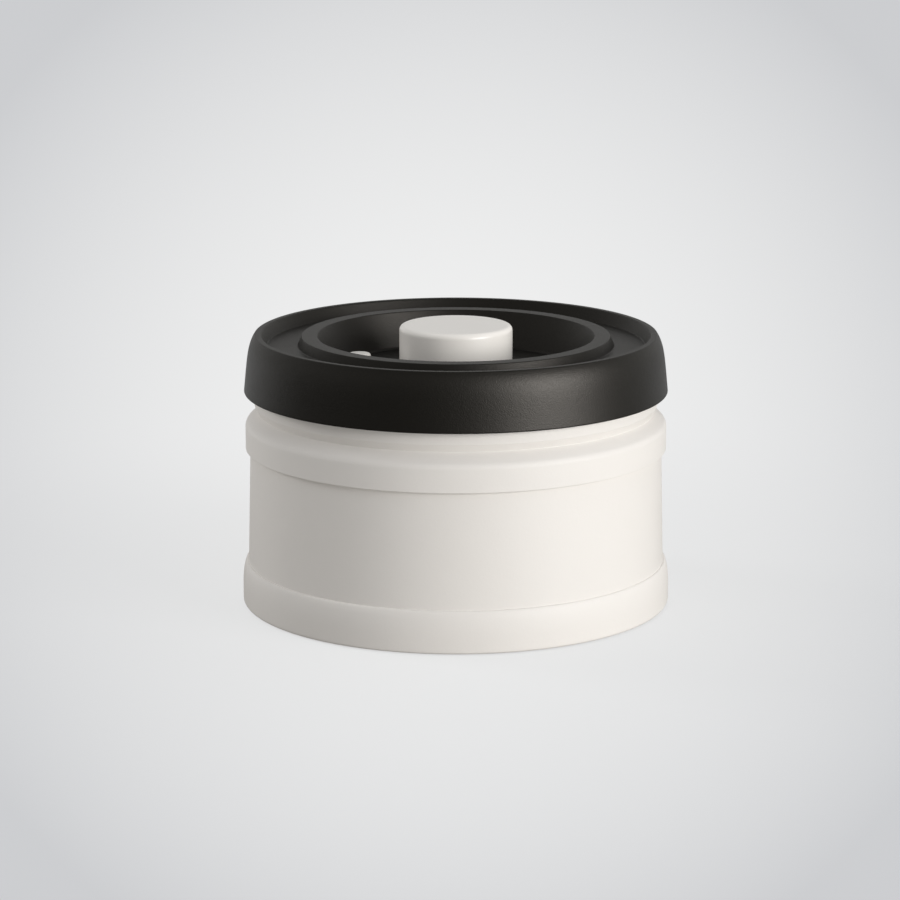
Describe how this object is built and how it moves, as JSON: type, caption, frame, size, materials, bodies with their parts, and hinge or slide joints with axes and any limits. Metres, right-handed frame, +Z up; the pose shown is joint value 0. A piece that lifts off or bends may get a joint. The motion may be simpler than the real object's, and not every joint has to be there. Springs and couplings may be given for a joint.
{
  "type": "vacuum coffee canister",
  "caption": "Low round steel canister for coffee, with a dark lid that holds a push-button vacuum pump and a release button.",
  "frame": {"origin": "centre of the canister on the surface that it stands on", "axes": "+Z up along the canister's axis, -Y towards the viewer of the picture, +X to that viewer's right; the release button is on the -X side of the pump button"},
  "size_m": [0.1218, 0.1218, 0.0795],
  "materials": {
    "coated_steel": "warm off-white powder coat, satin",
    "dark_plastic": "dark brown-black, fine moulded grain",
    "white_plastic": "warm white, satin",
    "grey_plastic": "mid grey, satin",
    "dark_silicone": "dark grey silicone, matt",
    "pale_silicone": "milky silicone, soft sheen",
    "bright_steel": "plain stainless steel"
  },
  "bodies": {
    "canister": {"canister_shell": "coated_steel", "foot_ring": "dark_silicone"},
    "lid": {"lid_cover": "dark_plastic", "lid_base": "dark_plastic", "lid_gasket": "pale_silicone", "pump_cylinder": "grey_plastic", "cylinder_gasket": "dark_silicone", "cylinder_screw_1": "bright_steel", "cylinder_screw_2": "bright_steel", "cylinder_screw_3": "bright_steel", "cylinder_screw_4": "bright_steel", "inlet_valve": "pale_silicone", "filter_screen": "bright_steel", "filter_cap": "dark_plastic", "return_spring": "bright_steel", "release_spring": "bright_steel"},
    "pump": {"pump_button": "white_plastic", "piston": "dark_plastic", "piston_seal": "dark_silicone", "piston_screw": "bright_steel"},
    "release": {"release_button": "white_plastic", "release_stem": "dark_plastic", "release_seal": "dark_silicone"}
  },
  "joints": [
    {"name": "lid_lift", "type": "slide", "parent": "canister", "child": "lid", "axis": [0, 0, 1], "range_m": [0, 0.06]},
    {"name": "pump_press", "type": "slide", "parent": "lid", "child": "pump", "axis": [0, 0, -1], "range_m": [0, 0.008], "stiffness_N_per_m": 600, "springref_m": -0.004, "deforming": ["return_spring"]},
    {"name": "release_press", "type": "slide", "parent": "lid", "child": "release", "axis": [0, 0, -1], "range_m": [0, 0.002], "stiffness_N_per_m": 900, "springref_m": -0.001, "deforming": ["release_spring"]}
  ]
}
